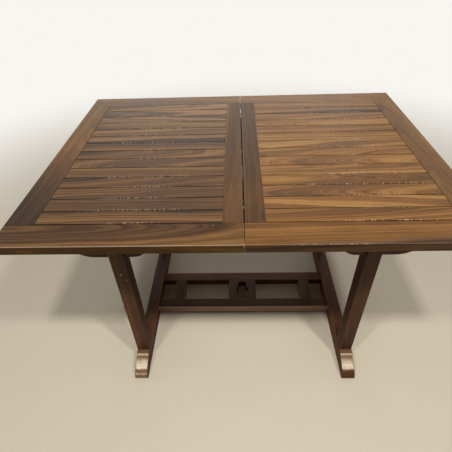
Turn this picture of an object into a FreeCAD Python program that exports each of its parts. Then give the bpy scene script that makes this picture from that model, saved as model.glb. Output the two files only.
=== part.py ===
# Extending garden table: a slatted hardwood top in two halves that slide apart on a trestle base,
# with the loose leaf stored under the top. Millimetres, +Z up, +X to the right end, -Y to the front.
# The origin is on the floor under the middle of the table.
import FreeCAD, Part
import math
import os

import Sketcher

os.makedirs("parts", exist_ok=True)
doc = FreeCAD.newDocument("extending_table")

# Driving dimensions, in millimetres apart from the counts
DRIVING = {
    # Table top
    "top_length": 1200.0,
    "top_width": 915.0,
    "table_height": 725.0,
    "board_thickness": 26.0,
    "seam_gap": 3.0,
    "rail_gap": 0.8,
    "long_rail_width": 81.0,
    "end_rail_width": 75.0,
    "seam_rail_width": 52.0,
    "slat_count": 14,
    "slat_gap": 3.2,
    "slat_end_gap": 2.0,
    "arris_radius": 3.0,
    "fine_arris": 1.5,
    # Joints in the wood
    "tongue_length": 10.0,
    "tongue_thickness": 8.0,
    "tenon_length": 25.0,
    "tenon_width": 26.0,
    "tenon_inset": 12.0,
    "glue_gap": 0.1,
    # Battens and runners under each half
    "batten_thickness": 22.0,
    "batten_width": 60.0,
    "batten_end_gap": 4.0,
    "inner_batten_offset": 150.0,
    "outer_batten_offset": 400.0,
    "runner_width": 24.0,
    "runner_height": 50.0,
    "runner_inset": 18.5,
    "runner_end_inset": 20.0,
    "runner_side_gap": 2.0,
    "tongue_play": 1.0,
    # Guide rails, their grooves and the stops
    "slide_travel": 200.0,
    "rail_end_inset": 70.0,
    "guide_rail_width": 44.0,
    "guide_rail_height": 88.0,
    "groove_depth": 15.0,
    "groove_height": 20.0,
    "runner_lip": 2.0,
    "stop_length": 25.0,
    "stop_height": 22.0,
    "stop_gap": 0.5,
    "stop_drop": 2.0,
    # Trestle ends
    "trestle_spread": 751.0,
    "leaf_side_room": 17.0,
    "post_width": 45.0,
    "post_depth": 49.0,
    "post_tenon_width": 24.0,
    "post_tenon_depth": 20.0,
    "foot_tenon_length": 30.0,
    "head_tenon_length": 25.0,
    "post_arris": 3.0,
    "foot_heel": 20.0,
    "foot_width": 46.0,
    "foot_height": 58.0,
    "foot_arris": 3.0,
    "toe_length": 66.0,
    "toe_step": 10.0,
    "toe_nose_height": 11.0,
    "toe_nose_radius": 12.0,
    "toe_setback": 8.0,
    "bearer_width": 40.0,
    "bearer_height": 50.0,
    "bearer_drop": 2.0,
    "bearer_tenon_length": 18.0,
    "bearer_tenon_height": 34.0,
    "outer_bracket_length": 130.0,
    "outer_bracket_flat": 40.0,
    "inner_bracket_length": 90.0,
    "inner_bracket_flat": 28.0,
    "bracket_height": 77.0,
    "bracket_thickness": 32.0,
    "bracket_nose": 52.0,
    # Stretcher frame
    "stretcher_width": 196.0,
    "stretcher_top": 42.0,
    "stretcher_thickness": 30.0,
    "stretcher_rail_width": 46.0,
    "stretcher_arris": 2.5,
    "cross_slat_width": 45.0,
    "cross_slat_spread": 544.0,
    "centre_board_width": 118.0,
    "end_lobe_radius": 20.0,
    "end_lobe_margin": 8.0,
    "side_lobe_radius": 14.0,
    "side_lobe_offset": 13.0,
    # Stored leaf and its ledges
    "leaf_headroom": 2.0,
    "leaf_batten_length": 456.0,
    "leaf_batten_width": 45.0,
    "leaf_batten_offset": 80.0,
    "ledge_overhang": 10.0,
    "ledge_bearing_width": 48.0,
    "ledge_play": 1.5,
    "lip_width": 6.0,
    "lip_height": 4.0,
    # Seam dowels and catches
    "dowel_radius": 5.0,
    "dowel_depth": 20.0,
    "dowel_reach": 15.0,
    "dowel_play": 0.3,
    "dowel_inset": 76.5,
    "catch_spacing": 240.0,
    "catch_offset": 28.0,
    "catch_thickness": 3.0,
    "catch_width": 10.0,
    "catch_end_width": 18.0,
    "catch_end_length": 20.0,
    "catch_play": 0.3,
    "peg_radius": 2.5,
    "peg_head_radius": 5.0,
    "peg_head_height": 3.0,
    "peg_depth": 14.0,
    "peg_room": 1.0,
    "pivot_play": 0.08,
    # Fasteners
    "screw_radius": 2.0,
    "screw_head_radius": 4.0,
    "screw_head_height": 2.5,
    "screw_recess": 0.5,
    "board_bite": 14.5,
    "bearer_bite": 26.5,
    "bolt_radius": 4.0,
    "bolt_length": 90.0,
    "bolt_head_radius": 6.5,
    "bolt_head_height": 8.0,
    "bolt_play": 0.1,
    "nut_radius": 5.0,
    "nut_setback": 38.0,
    "nut_length": 22.0,
}

sheet = doc.addObject("Spreadsheet::Sheet", "sizes")
for row, (alias, number) in enumerate(DRIVING.items(), start=1):
    sheet.set(f"A{row}", alias)
    sheet.set(f"B{row}", str(number))
    sheet.setAlias(f"B{row}", alias)
doc.recompute()


class Size:
    """A size from the sheet: its number now, and the expression that keeps a feature bound to it."""

    def __init__(self, number, text):
        self.number = number
        self.text = text

    def __add__(self, other):
        other = as_size(other)
        return Size(self.number + other.number, f"({self.text} + {other.text})")

    def __radd__(self, other):
        return as_size(other) + self

    def __sub__(self, other):
        other = as_size(other)
        return Size(self.number - other.number, f"({self.text} - {other.text})")

    def __rsub__(self, other):
        return as_size(other) - self

    def __mul__(self, other):
        other = as_size(other)
        return Size(self.number * other.number, f"({self.text} * {other.text})")

    def __rmul__(self, other):
        return as_size(other) * self

    def __truediv__(self, other):
        other = as_size(other)
        return Size(self.number / other.number, f"({self.text} / {other.text})")

    def __neg__(self):
        return as_size(0) - self


def as_size(value):
    """A plain number as a Size, so that both can stand in one expression."""
    if isinstance(value, Size):
        return value
    return Size(float(value), str(value))


class Sheet:
    """The sheet's cells by alias, each as a Size."""

    def __getattr__(self, alias):
        return Size(float(sheet.get(alias)), f"sizes.{alias}")


dim = Sheet()
nodes = {}
UP = FreeCAD.Vector(0, 0, 1)
DOWN = FreeCAD.Vector(0, 0, -1)
HALF_TURN = FreeCAD.Rotation(UP, 180)
NO_TURN = FreeCAD.Rotation()
LEFT = -1
RIGHT = 1
FRONT = -1
REAR = 1
SIDE_NAMES = {LEFT: "left", RIGHT: "right"}
DEPTH_NAMES = {FRONT: "front", REAR: "rear"}
SAME_PLACE = 1e-4


# Shared building steps

def bind(item, path, size):
    """Tie one property of a feature to the sheet."""
    item.setExpression(path, as_size(size).text)


def place(item, corner, rotation=NO_TURN):
    """Put a feature at a corner point whose coordinates stay tied to the sheet."""
    item.Placement = FreeCAD.Placement(FreeCAD.Vector(), rotation)
    for axis, size in zip("xyz", corner):
        bind(item, f"Placement.Base.{axis}", size)


def box(name, corner, size):
    """A square-edged block from its lowest corner and its three sizes."""
    block = doc.addObject("Part::Box", name)
    for path, length in zip(("Length", "Width", "Height"), size):
        bind(block, path, length)
    place(block, corner)
    return block


def cylinder(name, foot, direction, radius, height):
    """A round bar that starts at a point and runs in a direction."""
    bar = doc.addObject("Part::Cylinder", name)
    bind(bar, "Radius", radius)
    bind(bar, "Height", height)
    place(bar, foot, FreeCAD.Rotation(UP, direction))
    return bar


def fused(name, pieces):
    """Several features grown together into one solid."""
    union = doc.addObject("Part::MultiFuse", name)
    union.Shapes = pieces
    return union


def compound(name, pieces):
    """Several separate solids kept together."""
    group = doc.addObject("Part::Compound", name)
    group.Links = pieces
    return group


def cut(name, base, tools):
    """A feature with one or more clear tools taken out of it."""
    result = doc.addObject("Part::Cut", name)
    result.Base = base
    result.Tool = tools[0] if len(tools) == 1 else compound(f"{name}_tools", tools)
    return result


def on_side(position, bounds, side):
    """Whether a point lies on one face of a box, named by sign and axis, such as +z."""
    sign, axis = side
    limit = getattr(bounds, f"{axis.upper()}{'Max' if sign == '+' else 'Min'}")
    return abs(getattr(position, axis) - limit) < SAME_PLACE


def rounded_where(name, base, radius, wanted):
    """Round every edge of a feature that wanted(edge, bounds) picks."""
    base.recompute(True)
    bounds = base.Shape.BoundBox
    fillet = doc.addObject("Part::Fillet", name)
    fillet.Base = base
    fillet.Edges = [(index, radius.number, radius.number)
                    for index, edge in enumerate(base.Shape.Edges, start=1) if wanted(edge, bounds)]
    return fillet


def rounded(name, base, radius, corners):
    """Round the edges of a block; each corner names the two faces that meet there."""
    def at_corner(edge, bounds):
        return any(all(on_side(edge.CenterOfMass, bounds, side) for side in corner) for corner in corners)

    return rounded_where(name, base, radius, at_corner)


def board(name, corner, size, radius, corners):
    """A sawn board with its named arrises rounded."""
    return rounded(name, box(f"{name}_blank", corner, size), radius, corners)


def keep(name, item):
    """Name a finished piece: its label becomes its file."""
    item.Label = name
    nodes[name] = item
    return item


def arc_centre(start, end, radius, turn):
    """Centre of the arc from start to end: on the left of the way for turn 1, on the right for -1."""
    chord = end - start
    half = chord.Length / 2
    rise = math.sqrt(max(radius * radius - half * half, 0.0))
    left = FreeCAD.Vector(-chord.y, chord.x, 0).normalize()
    return start + chord * 0.5 + left * (rise * turn)


def outline(sketch, points):
    """Draw a closed outline, each point as (x, y) or (x, y, arc radius, turn) for the way to the next."""
    spots = [FreeCAD.Vector(as_size(point[0]).number, as_size(point[1]).number, 0) for point in points]
    starts, ends = [], []
    for index, point in enumerate(points):
        here, there = spots[index], spots[(index + 1) % len(points)]
        if len(point) == 2:
            sketch.addGeometry(Part.LineSegment(here, there))
            starts.append(1)
            ends.append(2)
            continue
        radius, turn = as_size(point[2]), point[3]
        centre = arc_centre(here, there, radius.number, turn)
        first, last = (here, there) if turn > 0 else (there, here)
        angles = [math.atan2(spot.y - centre.y, spot.x - centre.x) for spot in (first, last)]
        circle = Part.Circle(centre, UP, radius.number)
        sketch.addGeometry(Part.ArcOfCircle(circle, angles[0], angles[1]))
        starts.append(1 if turn > 0 else 2)
        ends.append(2 if turn > 0 else 1)
    for index, point in enumerate(points):
        before = index - 1 if index else len(points) - 1
        sketch.addConstraint(Sketcher.Constraint("Coincident", before, ends[before], index, starts[index]))
        for kind, axis, size in (("DistanceX", -2, point[0]), ("DistanceY", -1, point[1])):
            size = as_size(size)
            if size.text == "0":
                sketch.addConstraint(Sketcher.Constraint("PointOnObject", index, starts[index], axis))
                continue
            made = sketch.addConstraint(
                Sketcher.Constraint(kind, -1, 1, index, starts[index], size.number))
            bind(sketch, f"Constraints[{made}]", size)
        if len(point) > 2:
            made = sketch.addConstraint(Sketcher.Constraint("Radius", index, as_size(point[2]).number))
            bind(sketch, f"Constraints[{made}]", point[2])


def prism(name, plane, points, length, corner, rotation=NO_TURN):
    """A profile sketched on one plane of its own body and padded square to it."""
    body = doc.addObject("PartDesign::Body", name)
    support = [item for item in body.Origin.OriginFeatures if item.Role == plane][0]
    sketch = body.newObject("Sketcher::SketchObject", f"{name}_profile")
    sketch.AttachmentSupport = [(support, "")]
    sketch.MapMode = "FlatFace"
    outline(sketch, points)
    pad = body.newObject("PartDesign::Pad", f"{name}_pad")
    pad.Profile = sketch
    bind(pad, "Length", length)
    place(body, corner, rotation)
    return body


def wood_screw(name, point, direction, length):
    """A countersunk wood screw: its head's flat at the point, its shank along the direction."""
    head = doc.addObject("Part::Cone", f"{name}_head")
    bind(head, "Radius1", dim.screw_head_radius)
    bind(head, "Radius2", dim.screw_radius)
    bind(head, "Height", dim.screw_head_height)
    place(head, point, FreeCAD.Rotation(UP, direction))
    shank = cylinder(f"{name}_shank", point, direction, dim.screw_radius, length)
    return fused(name, [head, shank])


def reach(side, near, far):
    """Lowest coordinate of a span that lies from near to far on one side of the middle."""
    return near if side > 0 else -far


# Levels and places that several pieces share
top_level = dim.table_height
under_top = top_level - dim.board_thickness
half_gap = dim.seam_gap / 2
half_length = dim.top_length / 2
half_width = dim.top_width / 2
inner_half = half_width - dim.long_rail_width
slat_width = (2 * inner_half - dim.slat_gap * (dim.slat_count + 1)) / dim.slat_count
slat_pitch = slat_width + dim.slat_gap
slat_start = half_gap + dim.seam_rail_width
slat_end = half_length - dim.end_rail_width
tongue_lift = (dim.board_thickness - dim.tongue_thickness) / 2
groove_thickness = dim.tongue_thickness + 2 * dim.glue_gap
groove_lift = tongue_lift - dim.glue_gap
dowel_lift = dim.board_thickness / 2
dowel_row = inner_half - dim.dowel_inset
dowel_rows = (-dowel_row, as_size(0), dowel_row)
dowel_stand = dim.seam_gap + dim.dowel_reach

leaf_half = dim.slide_travel - half_gap
runner_inner = leaf_half + dowel_stand + dim.leaf_side_room
runner_outer = runner_inner + dim.runner_width
runner_bottom = under_top - dim.runner_height
groove_bottom = runner_bottom + dim.runner_lip
groove_top = groove_bottom + dim.groove_height
rail_inner = runner_outer + dim.runner_side_gap
rail_outer = rail_inner + dim.guide_rail_width
rail_half = half_length - dim.rail_end_inset
rail_bottom = under_top - dim.guide_rail_height
post_middle = (rail_inner + rail_outer) / 2
batten_half = runner_inner - dim.batten_end_gap
batten_bottom = under_top - dim.batten_thickness
bearer_top = rail_bottom - dim.bearer_drop
trestle_middle = dim.trestle_spread / 2
foot_inner = trestle_middle - dim.foot_width / 2

leaf_top = batten_bottom - dim.leaf_headroom
leaf_bottom = leaf_top - dim.board_thickness
stop_bottom = runner_bottom - dim.stop_height
stop_near = half_gap + dim.runner_inset + dim.stop_length + dim.slide_travel + dim.stop_gap
batten_screw_length = dim.batten_thickness - dim.screw_recess + dim.board_bite

ALL_TOP_EDGES = ("-x+z", "+x+z", "-y+z", "+y+z")


def faces(text):
    """Split a corner such as -x+z into its two faces."""
    return (text[:2], text[2:])


def arrises(*texts):
    """The corners of a block named in short form."""
    return [faces(text) for text in texts]


# Slats: boards with a tongue at each end, housed in the grooves of the rails that cross their ends

def slat_row(name, along, start, end, level, start_gap, end_gap):
    """All slats of one panel between two rails, whose faces lie at start and end along x or y.

    A slat's shoulder meets its rail or leaves a shadow gap; its tongue fills the rail's groove either way.
    """
    near, far = start + start_gap, end - end_gap
    slats = []
    for index in range(int(dim.slat_count.number)):
        across = dim.slat_gap + slat_pitch * index - inner_half
        tongue_start = start - dim.tongue_length + dim.glue_gap
        tongue_run = end - start + 2 * (dim.tongue_length - dim.glue_gap)
        if along == "x":
            corner, size = (near, across, level), (far - near, slat_width, dim.board_thickness)
            tongue_corner = (tongue_start, across, level + tongue_lift)
            tongue_size = (tongue_run, slat_width, dim.tongue_thickness)
            edges = arrises("-y+z", "+y+z")
        else:
            corner, size = (across, near, level), (slat_width, far - near, dim.board_thickness)
            tongue_corner = (across, tongue_start, level + tongue_lift)
            tongue_size = (slat_width, tongue_run, dim.tongue_thickness)
            edges = arrises("-x+z", "+x+z")
        plank = board(f"{name}_{index}", corner, size, dim.fine_arris, edges)
        tongue = box(f"{name}_{index}_tongue", tongue_corner, tongue_size)
        slats.append(fused(f"{name}_{index}_board", [plank, tongue]))
    return compound(name, slats)


# One half of the top

def long_rail(side, depth):
    """Front or back rail: it runs the half's whole length, with mortises for the two cross rails."""
    name = f"{SIDE_NAMES[side]}_{DEPTH_NAMES[depth]}_rail"
    start = dim.rail_gap / 2
    corner = (reach(side, start, half_length), reach(depth, inner_half, half_width), under_top)
    size = (half_length - start, dim.long_rail_width, dim.board_thickness)
    free_end, seam_end = ("-x", "+x") if side == LEFT else ("+x", "-x")
    free_edge = "-y" if depth == FRONT else "+y"
    edges = arrises("-y+z", "+y+z", f"{free_end}+z", f"{free_edge}-z", f"{free_end}-z", free_end + free_edge)
    shaped = board(f"{name}_board", corner, size, dim.arris_radius, edges)
    blank = rounded(f"{name}_seam_arris", shaped, dim.fine_arris, arrises(f"{seam_end}+z"))
    mortises = []
    for label, near in (("seam", half_gap + dim.tenon_inset),
                        ("end", half_length - dim.tenon_inset - dim.tenon_width)):
        far = near + dim.tenon_width + dim.glue_gap
        spot = (reach(side, near - dim.glue_gap, far),
                reach(depth, inner_half, inner_half + dim.tenon_length),
                under_top + groove_lift)
        hole = (dim.tenon_width + 2 * dim.glue_gap, dim.tenon_length, groove_thickness)
        mortises.append(box(f"{name}_{label}_mortise", spot, hole))
    return keep(name, cut(f"{name}_cut", blank, mortises))


def cross_rail(name, side, near, far, tenon_near, groove_near, fine_edges, free_edges, bores):
    """A rail between the front and back rails: tenons at its ends, a groove for the slats' tongues."""
    blank = board(f"{name}_board", (reach(side, near, far), -inner_half, under_top),
                  (far - near, 2 * inner_half, dim.board_thickness), dim.fine_arris, fine_edges)
    if free_edges:
        blank = rounded(f"{name}_free_arris", blank, dim.arris_radius, free_edges)
    tenon_end = inner_half + dim.tenon_length - dim.glue_gap
    tenon = box(f"{name}_tenon",
                (reach(side, tenon_near, tenon_near + dim.tenon_width), -tenon_end, under_top + tongue_lift),
                (dim.tenon_width, 2 * tenon_end, dim.tongue_thickness))
    groove = box(f"{name}_groove",
                 (reach(side, groove_near, groove_near + dim.tongue_length), -inner_half,
                  under_top + groove_lift),
                 (dim.tongue_length, 2 * inner_half, groove_thickness))
    return keep(name, cut(f"{name}_cut", fused(f"{name}_joined", [blank, tenon]), [groove] + bores))


def seam_bores(name, side):
    """Holes in a seam rail: the left one holds the dowels, the right one takes their free ends."""
    if side == LEFT:
        radius, depth = dim.dowel_radius + dim.glue_gap, dim.dowel_depth
    else:
        radius, depth = dim.dowel_radius + dim.dowel_play, dim.dowel_reach + dim.stop_gap
    outward = FreeCAD.Vector(side, 0, 0)
    return [cylinder(f"{name}_bore_{index}", (half_gap * side, row, under_top + dowel_lift), outward, radius,
                     depth) for index, row in enumerate(dowel_rows)]


def cross_battens(side):
    """The two battens that tie a half's slats together from below."""
    side_name = SIDE_NAMES[side]
    for label, offset in (("inner", dim.inner_batten_offset), ("outer", dim.outer_batten_offset)):
        name = f"{side_name}_{label}_batten"
        near = offset - dim.batten_width / 2
        corner = (reach(side, near, near + dim.batten_width), -batten_half, batten_bottom)
        size = (dim.batten_width, 2 * batten_half, dim.batten_thickness)
        keep(name, board(f"{name}_board", corner, size, dim.arris_radius,
                         arrises("-x-z", "+x-z", "-y-z", "+y-z")))


def runner(side, depth):
    """A strip under the half whose tongue runs in the guide rail's groove."""
    name = f"{SIDE_NAMES[side]}_{DEPTH_NAMES[depth]}_runner"
    tongue_reach = dim.runner_side_gap + dim.groove_depth - dim.tongue_play
    tongue_low = groove_bottom + dim.tongue_play - runner_bottom
    tongue_high = groove_top - dim.tongue_play - runner_bottom
    section = [
        (tongue_reach, 0),
        (tongue_reach + dim.runner_width, 0),
        (tongue_reach + dim.runner_width, dim.runner_height),
        (tongue_reach, dim.runner_height),
        (tongue_reach, tongue_high),
        (0, tongue_high),
        (0, tongue_low),
        (tongue_reach, tongue_low),
    ]
    near = half_gap + dim.runner_inset
    far = half_length - dim.runner_end_inset
    start = reach(side, near, far) if depth == FRONT else reach(side, far, near)
    corner = (start, (runner_outer + tongue_reach) * depth, runner_bottom)
    turn = NO_TURN if depth == FRONT else HALF_TURN
    keep(name, prism(f"{name}_body", "YZ_Plane", section, far - near, corner, turn))


def stop_blocks(side):
    """Blocks under the runners' inner ends that meet the fixed stops when the half is drawn out."""
    name = f"{SIDE_NAMES[side]}_stop_blocks"
    near = half_gap + dim.runner_inset
    blocks = []
    for depth in (FRONT, REAR):
        corner = (reach(side, near, near + dim.stop_length), reach(depth, runner_inner, runner_outer),
                  stop_bottom)
        blocks.append(box(f"{name}_{DEPTH_NAMES[depth]}", corner,
                          (dim.stop_length, dim.runner_width, dim.stop_height)))
    keep(name, compound(f"{name}_group", blocks))


def half_screws(side):
    """Screws up through the battens into the slats, and through the runners into the rails."""
    name = f"{SIDE_NAMES[side]}_screws"
    runner_screw_length = dim.runner_height - dim.screw_recess + dim.board_bite
    screws = []
    for offset in (dim.inner_batten_offset, dim.outer_batten_offset):
        for index in range(int(dim.slat_count.number)):
            middle = dim.slat_gap + slat_width / 2 + slat_pitch * index - inner_half
            if abs(middle.number) > batten_half.number - dim.screw_head_radius.number:
                continue
            point = (offset * side, middle, batten_bottom + dim.screw_recess)
            screws.append(wood_screw(f"{name}_{len(screws)}", point, UP, batten_screw_length))
    for depth in (FRONT, REAR):
        for middle in (slat_start - dim.seam_rail_width / 4, slat_end + dim.end_rail_width / 4):
            point = (middle * side, (runner_inner + dim.runner_width / 2) * depth,
                     runner_bottom + dim.screw_recess)
            screws.append(wood_screw(f"{name}_{len(screws)}", point, UP, runner_screw_length))
    keep(name, compound(f"{name}_group", screws))


def top_half(side):
    """Every piece of one half of the top."""
    side_name = SIDE_NAMES[side]
    for depth in (FRONT, REAR):
        long_rail(side, depth)
        runner(side, depth)
    free_end = "-x" if side == LEFT else "+x"
    seam_end = "+x" if side == LEFT else "-x"
    seam_name, end_name = f"{side_name}_seam_rail", f"{side_name}_end_rail"
    cross_rail(seam_name, side, half_gap, slat_start, half_gap + dim.tenon_inset,
               slat_start - dim.tongue_length, arrises("-x+z", "+x+z", f"{seam_end}-z"), [],
               seam_bores(seam_name, side))
    cross_rail(end_name, side, slat_end, half_length, half_length - dim.tenon_inset - dim.tenon_width,
               slat_end, arrises(f"{seam_end}+z"), arrises(f"{free_end}+z", f"{free_end}-z"), [])
    if side == RIGHT:
        span = (slat_start, slat_end, under_top, as_size(0), dim.slat_end_gap)
    else:
        span = (-slat_end, -slat_start, under_top, dim.slat_end_gap, as_size(0))
    keep(f"{side_name}_slats", slat_row(f"{side_name}_slat_row", "x", *span))
    cross_battens(side)
    stop_blocks(side)
    half_screws(side)


top_half(LEFT)
top_half(RIGHT)

# Dowels glued into the left seam rail, whose free ends line the right half up
seam_dowels = [cylinder(f"seam_dowel_{index}",
                        (dim.glue_gap - half_gap - dim.dowel_depth, row, under_top + dowel_lift),
                        FreeCAD.Vector(1, 0, 0), dim.dowel_radius,
                        dim.dowel_depth - dim.glue_gap + dowel_stand)
               for index, row in enumerate(dowel_rows)]
keep("seam_dowels", compound("seam_dowel_group", seam_dowels))


# Swing catches under the seam: a brass hook on the left half, a peg on the right half

hook_top = under_top - dim.catch_play
hook_bottom = hook_top - dim.catch_thickness
peg_head_top = hook_bottom - dim.catch_play
catch_rows = {FRONT: -dim.catch_spacing / 2, REAR: dim.catch_spacing / 2}


def catch_hook(depth):
    """A flat hook, at rest along the seam; it swings across the seam so that its notch takes the peg."""
    arm = dim.catch_width / 2
    end = dim.catch_end_width / 2
    notch = dim.peg_radius + dim.peg_room
    peg = 2 * dim.catch_offset
    end_start = peg - dim.catch_end_length / 2
    tip = peg + dim.catch_end_length / 2
    plan = [
        (0, -arm),
        (end_start, -arm),
        (end_start, -end),
        (peg - notch, -end),
        (peg - notch, 0, notch, -1),
        (peg, notch, notch, -1),
        (peg + notch, 0),
        (peg + notch, -end),
        (tip, -end),
        (tip, arm),
        (0, arm, arm, 1),
        (-arm, 0, arm, 1),
    ]
    name = f"{DEPTH_NAMES[depth]}_catch_hook"
    if depth == FRONT:
        level, turn = hook_bottom, FreeCAD.Rotation(UP, 90)
    else:
        level = hook_top
        turn = FreeCAD.Rotation(UP, -90) * FreeCAD.Rotation(FreeCAD.Vector(1, 0, 0), 180)
    pivot = (-dim.catch_offset, catch_rows[depth])
    plate = prism(f"{name}_plate", "XY_Plane", plan, dim.catch_thickness, (*pivot, level), turn)
    hole = cylinder(f"{name}_hole", (*pivot, hook_bottom), UP, dim.peg_radius + dim.pivot_play,
                    dim.catch_thickness)
    keep(name, cut(f"{name}_cut", plate, [hole]))


def headed_pins(name, offset):
    """Two brass pins that stand in a seam rail from below, each with a flat head under the hook."""
    pins = []
    for depth in (FRONT, REAR):
        point = (offset, catch_rows[depth], peg_head_top - dim.peg_head_height)
        length = under_top + dim.peg_depth - point[2]
        head = cylinder(f"{name}_{depth}_head", point, UP, dim.peg_head_radius, dim.peg_head_height)
        shank = cylinder(f"{name}_{depth}_shank", point, UP, dim.peg_radius, length)
        pins.append(fused(f"{name}_{DEPTH_NAMES[depth]}", [head, shank]))
    keep(name, compound(f"{name}_group", pins))


catch_hook(FRONT)
catch_hook(REAR)
headed_pins("catch_pivots", -dim.catch_offset)
headed_pins("catch_pegs", dim.catch_offset)


# The stored leaf lies lengthways under the top, so its slats cross the table there

def leaf_end_rail(side):
    """End rail of the leaf: it spans the leaf's width, with mortises for the two side rails."""
    name = f"leaf_{SIDE_NAMES[side]}_end_rail"
    free_end = "-x" if side == LEFT else "+x"
    blank = board(f"{name}_board", (reach(side, inner_half, half_width), -leaf_half, leaf_bottom),
                  (dim.long_rail_width, 2 * leaf_half, dim.board_thickness), dim.arris_radius,
                  arrises(*ALL_TOP_EDGES, f"{free_end}-z"))
    mortises = []
    for depth in (FRONT, REAR):
        near = leaf_half - dim.tenon_inset - dim.tenon_width
        far = near + dim.tenon_width
        spot = (reach(side, inner_half, inner_half + dim.tenon_length),
                reach(depth, near - dim.glue_gap, far + dim.glue_gap), leaf_bottom + groove_lift)
        hole = (dim.tenon_length, dim.tenon_width + 2 * dim.glue_gap, groove_thickness)
        mortises.append(box(f"{name}_{DEPTH_NAMES[depth]}_mortise", spot, hole))
    keep(name, cut(f"{name}_cut", blank, mortises))


def leaf_side_rail(depth):
    """Side rail of the leaf: the front one holds dowels, the rear one has sockets for the table's own."""
    name = f"leaf_{DEPTH_NAMES[depth]}_side_rail"
    near = leaf_half - dim.seam_rail_width
    blank = board(f"{name}_board", (-inner_half, reach(depth, near, leaf_half), leaf_bottom),
                  (2 * inner_half, dim.seam_rail_width, dim.board_thickness), dim.arris_radius,
                  arrises("-y+z", "+y+z", "-y-z" if depth == FRONT else "+y-z"))
    tenon_near = leaf_half - dim.tenon_inset - dim.tenon_width
    tenon_end = inner_half + dim.tenon_length - dim.glue_gap
    tenon = box(f"{name}_tenon", (-tenon_end, reach(depth, tenon_near, tenon_near + dim.tenon_width),
                                  leaf_bottom + tongue_lift),
                (2 * tenon_end, dim.tenon_width, dim.tongue_thickness))
    groove = box(f"{name}_groove", (-inner_half, reach(depth, near, near + dim.tongue_length),
                                    leaf_bottom + groove_lift),
                 (2 * inner_half, dim.tongue_length, groove_thickness))
    if depth == FRONT:
        radius, deep = dim.dowel_radius + dim.glue_gap, dim.dowel_depth
    else:
        radius, deep = dim.dowel_radius + dim.dowel_play, dim.dowel_reach + dim.stop_gap
    inward = FreeCAD.Vector(0, -depth, 0)
    bores = [cylinder(f"{name}_bore_{index}", (row, leaf_half * depth, leaf_bottom + dowel_lift), inward,
                      radius, deep) for index, row in enumerate(dowel_rows)]
    keep(name, cut(f"{name}_cut", fused(f"{name}_joined", [blank, tenon]), [groove] + bores))


def leaf_battens():
    """Two battens under the leaf's slats, short enough to lie between the guide rails in use."""
    battens = []
    for depth in (FRONT, REAR):
        near = dim.leaf_batten_offset - dim.leaf_batten_width / 2
        corner = (-dim.leaf_batten_length / 2, reach(depth, near, near + dim.leaf_batten_width),
                  leaf_bottom - dim.batten_thickness)
        size = (dim.leaf_batten_length, dim.leaf_batten_width, dim.batten_thickness)
        battens.append(board(f"leaf_batten_{DEPTH_NAMES[depth]}", corner, size, dim.arris_radius,
                             arrises("-x-z", "+x-z", "-y-z", "+y-z")))
    keep("leaf_battens", compound("leaf_batten_group", battens))


def leaf_screws():
    """Screws up through the leaf's battens into its slats."""
    screws = []
    for depth in (FRONT, REAR):
        for index in range(int(dim.slat_count.number)):
            middle = dim.slat_gap + slat_width / 2 + slat_pitch * index - inner_half
            if abs(middle.number) > (dim.leaf_batten_length / 2 - dim.screw_head_radius).number:
                continue
            point = (middle, dim.leaf_batten_offset * depth,
                     leaf_bottom - dim.batten_thickness + dim.screw_recess)
            screws.append(wood_screw(f"leaf_screw_{len(screws)}", point, UP, batten_screw_length))
    keep("leaf_screws", compound("leaf_screw_group", screws))


leaf_end_rail(LEFT)
leaf_end_rail(RIGHT)
leaf_side_rail(FRONT)
leaf_side_rail(REAR)
leaf_slat_end = leaf_half - dim.seam_rail_width
keep("leaf_slats", slat_row("leaf_slat_row", "y", -leaf_slat_end, leaf_slat_end, leaf_bottom, as_size(0),
                            as_size(0)))
leaf_battens()
leaf_screws()
leaf_dowels = [cylinder(f"leaf_dowel_{index}",
                        (row, dim.dowel_depth - dim.glue_gap - leaf_half, leaf_bottom + dowel_lift),
                        FreeCAD.Vector(0, -1, 0), dim.dowel_radius,
                        dim.dowel_depth - dim.glue_gap + dowel_stand)
               for index, row in enumerate(dowel_rows)]
keep("leaf_dowels", compound("leaf_dowel_group", leaf_dowels))


# Guide rails: along the table on the posts' heads, each with a groove in its inner face

def guide_rail(depth):
    """One guide rail, with a mortise over each post."""
    name = f"{DEPTH_NAMES[depth]}_guide_rail"
    low = groove_bottom - rail_bottom
    high = groove_top - rail_bottom
    deep = dim.guide_rail_width - dim.groove_depth
    section = [
        (0, 0),
        (dim.guide_rail_width, 0),
        (dim.guide_rail_width, low),
        (deep, low),
        (deep, high),
        (dim.guide_rail_width, high),
        (dim.guide_rail_width, dim.guide_rail_height),
        (0, dim.guide_rail_height),
    ]
    corner = (rail_half * depth, rail_outer * depth, rail_bottom)
    turn = NO_TURN if depth == FRONT else HALF_TURN
    rail = prism(f"{name}_body", "YZ_Plane", section, 2 * rail_half, corner, turn)
    mortises = []
    for side in (LEFT, RIGHT):
        spot = (trestle_middle * side - dim.post_tenon_width / 2 - dim.glue_gap,
                post_middle * depth - dim.post_tenon_depth / 2 - dim.glue_gap, rail_bottom)
        hole = (dim.post_tenon_width + 2 * dim.glue_gap, dim.post_tenon_depth + 2 * dim.glue_gap,
                dim.head_tenon_length)
        mortises.append(box(f"{name}_{SIDE_NAMES[side]}_mortise", spot, hole))
    keep(name, cut(f"{name}_cut", rail, mortises))


def travel_stops():
    """Blocks on the guide rails' inner faces that end the halves' travel."""
    blocks = []
    for side in (LEFT, RIGHT):
        for depth in (FRONT, REAR):
            corner = (reach(side, stop_near, stop_near + dim.stop_length),
                      reach(depth, runner_inner, rail_inner), stop_bottom - dim.stop_drop)
            size = (dim.stop_length, rail_inner - runner_inner, dim.stop_height)
            blocks.append(box(f"travel_stop_{SIDE_NAMES[side]}_{DEPTH_NAMES[depth]}", corner, size))
    keep("travel_stops", compound("travel_stop_group", blocks))


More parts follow.
